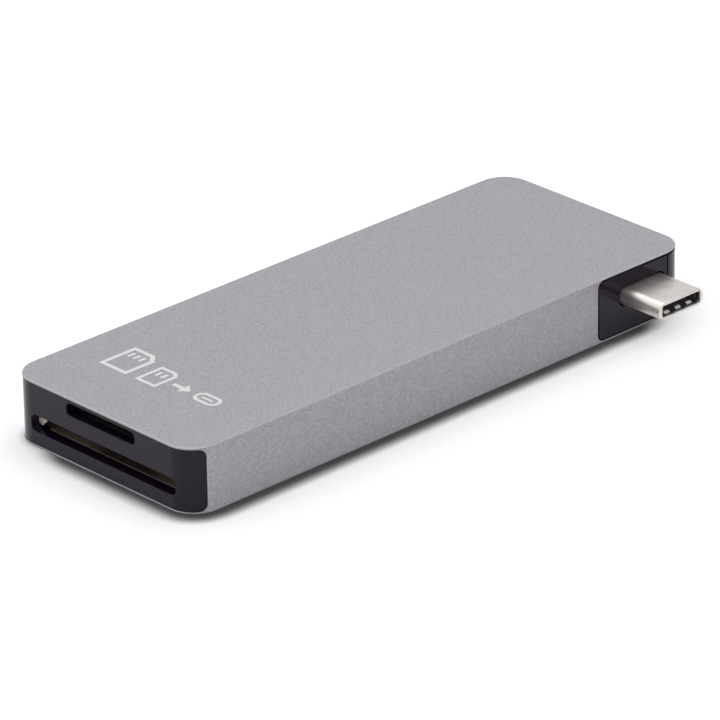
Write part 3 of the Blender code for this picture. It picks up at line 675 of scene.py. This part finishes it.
def build_usb_a_contacts():
    """Four flat contacts and five raised ones under each tongue."""
    under, thick = USB_A_TONGUE_Z - CONTACT_GAP, 0.06
    front, long, wide, fast_wide = 7.2, 6.6, 1.0, 0.6
    bends = ((5.0, 0.0), (5.0, 0.12), (5.5, 0.42), (5.9, 0.42), (6.5, 0.08), (6.5, 0.0))
    arch = [(y, under - drop) for y, drop in bends]
    for k in (1, 2):
        centre = middle_mm(f"usb_a_shell_{k}").x
        bm = bmesh.new()
        for x in (-3.5, -1.0, 1.0, 3.5):
            outline = round_rectangle(centre + x - wide / 2, front, wide, long, 0.2)
            prism(bm, outline, under - thick, under, plan)
        finish_piece(f"usb_a_contacts_{k}", bm, GOLD)
        bm = bmesh.new()
        for x in (-4.0, -2.0, 0.0, 2.0, 4.0):
            prism(bm, arch, centre + x - fast_wide / 2, centre + x + fast_wide / 2, end_view)
        finish_piece(f"usb_a_fast_contacts_{k}", bm, GOLD)


def build_usb_c_contacts():
    """Twelve contacts on each face of the port's tongue, and twelve on each side of the plug's slot."""
    pitch, wide, radius, steps = 0.5, 0.27, 0.06, 3
    offsets = [pitch * (k - 5.5) for k in range(12)]
    back, long, thick, reach = 38.3, 3.5, 0.035, PORT_TONGUE_HALF + CONTACT_GAP
    for side, low in (("upper", PORT.z + reach), ("lower", PORT.z - reach - thick)):
        bm = bmesh.new()
        for y in offsets:
            outline = round_rectangle(back, y - wide / 2, long, wide, radius, steps)
            prism(bm, outline, low, low + thick, plan)
        finish_piece(f"port_contacts_{side}", bm, GOLD)
    front, long, thick, reach = -20.0, 3.0, 0.07, 0.42
    for side, low in (("upper", PLUG.z + reach), ("lower", PLUG.z - reach - thick)):
        bm = bmesh.new()
        for x in offsets:
            outline = round_rectangle(PLUG.x + x - wide / 2, front, wide, long, radius, steps)
            prism(bm, outline, low, low + thick, plan)
        finish_piece(f"plug_contacts_{side}", bm, GOLD)


def build_socket_ear():
    """The bright ear turned down at one end of the SD socket's mouth."""
    bm = bmesh.new()
    front, back, root = -41.93, -41.86, -41.46
    top, end, thick = 3.9, 12.95, 0.08
    ear = [(11.4, top), (11.4, 3.2), (11.8, 2.95), (12.1, 2.5), (12.5, 2.45), (end, 2.7), (end, top)]
    flange = [(back, 2.5), (root, 2.6), (root, top), (back, top)]
    prism(bm, ear, front, back, end_view)
    prism(bm, flange, end - thick, end, side_view)
    finish_piece("sd_socket_ear", bm, cream_metal_look())


def build_chip_pads():
    """Tinned pads round the chips that have no legs, and under the microSD socket's tails."""
    low, thick, gap = BOARD_TOP + PAD_GAP, 0.022, 0.02
    long, wide, radius, steps = 0.4, 0.26, 0.08, 2
    for name, chip, count, pitch in (
        ("hub_controller_pads", "hub_controller", 16, 0.5),
        ("card_reader_pads", "card_reader_chip", 10, 0.5),
        ("power_controller_pads", "power_controller", 6, 0.65),
    ):
        middle = middle_mm(chip).xy
        edge = box_mm(chip)[1].x - middle.x + gap
        bm = bmesh.new()
        for quarter in range(4):
            turn = Matrix.Rotation(math.pi / 2 * quarter, 2)
            for k in range(count):
                at = pitch * (k - (count - 1) / 2)
                pad = round_rectangle(edge, at - wide / 2, long, wide, radius, steps)
                outline = [middle + turn @ Vector(point) for point in pad]
                prism(bm, outline, low, low + thick, plan)
        finish_piece(name, bm, TIN)
    bm = bmesh.new()
    long, wide, past_tail, thick = 1.1, 0.7, 0.3, 0.04
    for k in range(1, 9):
        tail = box_mm(f"microsd_contact_{k}")[1].x
        y = middle_mm(f"microsd_contact_{k}").y
        pad = round_rectangle(tail + past_tail - long, y - wide / 2, long, wide, 0.15, 3)
        prism(bm, pad, low, low + thick, plan)
    finish_piece("microsd_pads", bm, TIN)


def add_passive(bm, middle, axis, height):
    """One body, a little thinner than its two tinned ends, lying along axis."""
    across = Vector((-axis.y, axis.x))
    low, inset, steps = BOARD_TOP + PASSIVE_GAP, 0.02, 2
    body_half, body_wide, end_long, end_wide = 0.5, 0.8, 0.35, 0.84

    def place(u, v, w):
        spot = middle + axis * u + across * v
        return spot.x, spot.y, w

    body = round_rectangle(-body_half, -body_wide / 2, 2 * body_half, body_wide, 0.05, steps)
    prism(bm, body, low + inset, low + height - inset, place)
    for u in (-body_half - end_long, body_half):
        end = round_rectangle(u, -end_wide / 2, end_long, end_wide, 0.08, steps)
        prism(bm, end, low, low + height, place, material=1)


def build_passives():
    """Rows of small capacitors and resistors: a body between two tinned ends."""
    capacitor = plastic_look("capacitor_ceramic", (0.20, 0.12, 0.06), (0.30, 0.19, 0.10), 0.4)
    resistor = plastic_look("resistor_glaze", (0.012, 0.012, 0.014), (0.03, 0.03, 0.034), 0.35)
    for name, body, start, step, count, along, height in (
        ("capacitors_hub", capacitor, (-0.5, -12.6), (1.5, 0.0), 6, (0.0, 1.0), 0.55),
        ("resistors_hub", resistor, (10.4, -10.2), (0.0, 1.5), 5, (1.0, 0.0), 0.4),
        ("capacitors_reader", capacitor, (-21.0, -8.9), (1.5, 0.0), 4, (0.0, 1.0), 0.55),
        ("resistors_reader", resistor, (-13.4, -6.4), (0.0, 1.4), 4, (1.0, 0.0), 0.4),
        ("capacitors_power", capacitor, (24.2, -8.0), (0.0, 1.6), 4, (1.0, 0.0), 0.6),
        ("resistors_power", resistor, (14.2, -6.2), (1.5, 0.0), 4, (0.0, 1.0), 0.4),
    ):
        bm = bmesh.new()
        for k in range(count):
            add_passive(bm, Vector(start) + Vector(step) * k, Vector(along), height)
        finish_piece(name, bm, body, TIN)


def build_switch_legs():
    """Five bent legs of the power switch."""
    bm = bmesh.new()
    middle = middle_mm("power_switch")
    half = box_mm("power_switch")[1].y - middle.y
    gap, wide, foot_z = 0.02, 0.4, BOARD_TOP + 0.005
    under = [(0.0, 0.0), (0.42, 0.0), (0.6, 0.42), (0.7, 0.42)]
    over = [(0.7, 0.55), (0.5, 0.55), (0.32, 0.13), (0.0, 0.13)]
    toe = half + gap + under[-1][0]
    for side, places in ((1, (-0.95, 0.0, 0.95)), (-1, (-0.95, 0.95))):
        outline = [(middle.y + side * (toe - u), foot_z + v) for u, v in under + over]
        for x in places:
            prism(bm, outline, middle.x + x - wide / 2, middle.x + x + wide / 2, end_view)
    finish_piece("power_switch_legs", bm, TIN)


def build_spring():
    """The push-push spring, as a coil from its free end to its fixed end."""
    bm = bmesh.new()
    steps, sides = 156, 8
    rings = []
    for k in range(steps + 1):
        t = k / steps
        along = t - SPRING_CROWD * math.sin(2 * math.pi * t) / (2 * math.pi)
        x = SPRING_FREE + SPRING_WIRE_R + (SPRING_FIXED - SPRING_FREE - 2 * SPRING_WIRE_R) * along
        angle = 2 * math.pi * SPRING_TURNS * t
        out = Vector((0.0, math.cos(angle), math.sin(angle)))
        middle = Vector((x, SPRING_Y, SPRING_Z)) + out * SPRING_R
        ring = []
        for side in range(sides):
            turn = 2 * math.pi * side / sides
            round_wire = out * math.cos(turn) + Vector((math.sin(turn), 0.0, 0.0))
            point = middle + round_wire * SPRING_WIRE_R
            ring.append(bm.verts.new(point * MM))
        rings.append(ring)
    for near, far in zip(rings, rings[1:]):
        for k in range(sides):
            n = (k + 1) % sides
            bm.faces.new((near[k], near[n], far[n], far[k])).smooth = True
    bm.faces.new(rings[0])
    bm.faces.new(rings[-1])
    spring = finish_piece("microsd_coil_spring", bm, STEEL)
    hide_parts("microsd_spring")
    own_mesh(spring)


def build_details():
    build_print()
    build_usb_a_contacts()
    build_usb_c_contacts()
    build_socket_ear()
    build_chip_pads()
    build_passives()
    build_switch_legs()
    build_spring()


# Stage


def build_floor():
    mesh = bpy.data.meshes.new("floor")
    bm = bmesh.new()
    corners = [(x * FLOOR_HALF, y * FLOOR_HALF) for x, y in ((-1, -1), (1, -1), (1, 1), (-1, 1))]
    bm.faces.new([bm.verts.new((x, y, 0.0)) for x, y in corners])
    bm.to_mesh(mesh)
    bm.free()
    floor = bpy.data.objects.new("floor", mesh)
    bpy.context.scene.collection.objects.link(floor)
    mesh.materials.append(floor_look())


def build_softbox():
    """A square light above the object, aimed at it."""
    data = bpy.data.lights.new("softbox", "AREA")
    data.shape = "RECTANGLE"
    data.size = data.size_y = SOFTBOX_SIDE
    data.energy = SOFTBOX_WATTS
    light = bpy.data.objects.new("softbox", data)
    tilt = SOFTBOX_HEIGHT * math.tan(SOFTBOX_TILT)
    light.location = (BEHIND[0] * tilt, BEHIND[1] * tilt, SOFTBOX_HEIGHT)
    light.rotation_euler = (-light.location).to_track_quat("-Z", "Y").to_euler()
    bpy.context.scene.collection.objects.link(light)


def build_world():
    """A bright sweep behind the object, a bright ceiling, and a dim room on the camera's side."""
    world = bpy.data.worlds.new("studio")
    bpy.context.scene.world = world
    world.use_nodes = True
    nodes, links = world.node_tree.nodes, world.node_tree.links
    direction = nodes.new("ShaderNodeTexCoord").outputs["Generated"]
    total = ROOM
    for axis, start, end, gain in STUDIO:
        dot = nodes.new("ShaderNodeVectorMath")
        dot.operation = "DOT_PRODUCT"
        dot.inputs[1].default_value = axis
        links.new(direction, dot.inputs[0])
        ramp = nodes.new("ShaderNodeMapRange")
        ramp.interpolation_type = "SMOOTHSTEP"
        for socket, number in (("From Min", start), ("From Max", end), ("To Min", 0.0), ("To Max", gain)):
            ramp.inputs[socket].default_value = number
        links.new(dot.outputs["Value"], ramp.inputs["Value"])
        added = nodes.new("ShaderNodeMath")
        added.operation = "ADD"
        links.new(ramp.outputs["Result"], added.inputs[0])
        if isinstance(total, float):
            added.inputs[1].default_value = total
        else:
            links.new(total, added.inputs[1])
        total = added.outputs["Value"]
    background = nodes["Background"]
    background.inputs["Color"].default_value = ROOM_COLOUR
    links.new(total, background.inputs["Strength"])


def build_camera():
    """The camera looks along back, at a point off the origin by a little to its right and up."""
    back = Vector(
        (
            math.sin(AZIMUTH) * math.cos(ELEVATION),
            -math.cos(AZIMUTH) * math.cos(ELEVATION),
            math.sin(ELEVATION),
        )
    )
    level = Vector((0.0, 0.0, 1.0)).cross(back).normalized()
    upright = back.cross(level)
    right = level * math.cos(ROLL) + upright * math.sin(ROLL)
    up = upright * math.cos(ROLL) - level * math.sin(ROLL)
    place = (back * CAMERA_DISTANCE + right * CAMERA_RIGHT + up * CAMERA_UP) * MM
    data = bpy.data.cameras.new("camera")
    data.sensor_width = SENSOR
    data.lens = LENS
    data.clip_start = CLIP_NEAR
    data.clip_end = CLIP_FAR
    camera = bpy.data.objects.new("camera", data)
    axes = Matrix((right, up, back)).transposed().to_4x4()
    camera.matrix_world = Matrix.Translation(place) @ axes
    bpy.context.scene.collection.objects.link(camera)
    bpy.context.scene.camera = camera


def build_stage():
    build_floor()
    build_world()
    build_softbox()
    build_camera()
    view = bpy.context.scene.view_settings
    view.view_transform = "Standard"
    view.look = "None"


dress_all()
build_details()
build_stage()
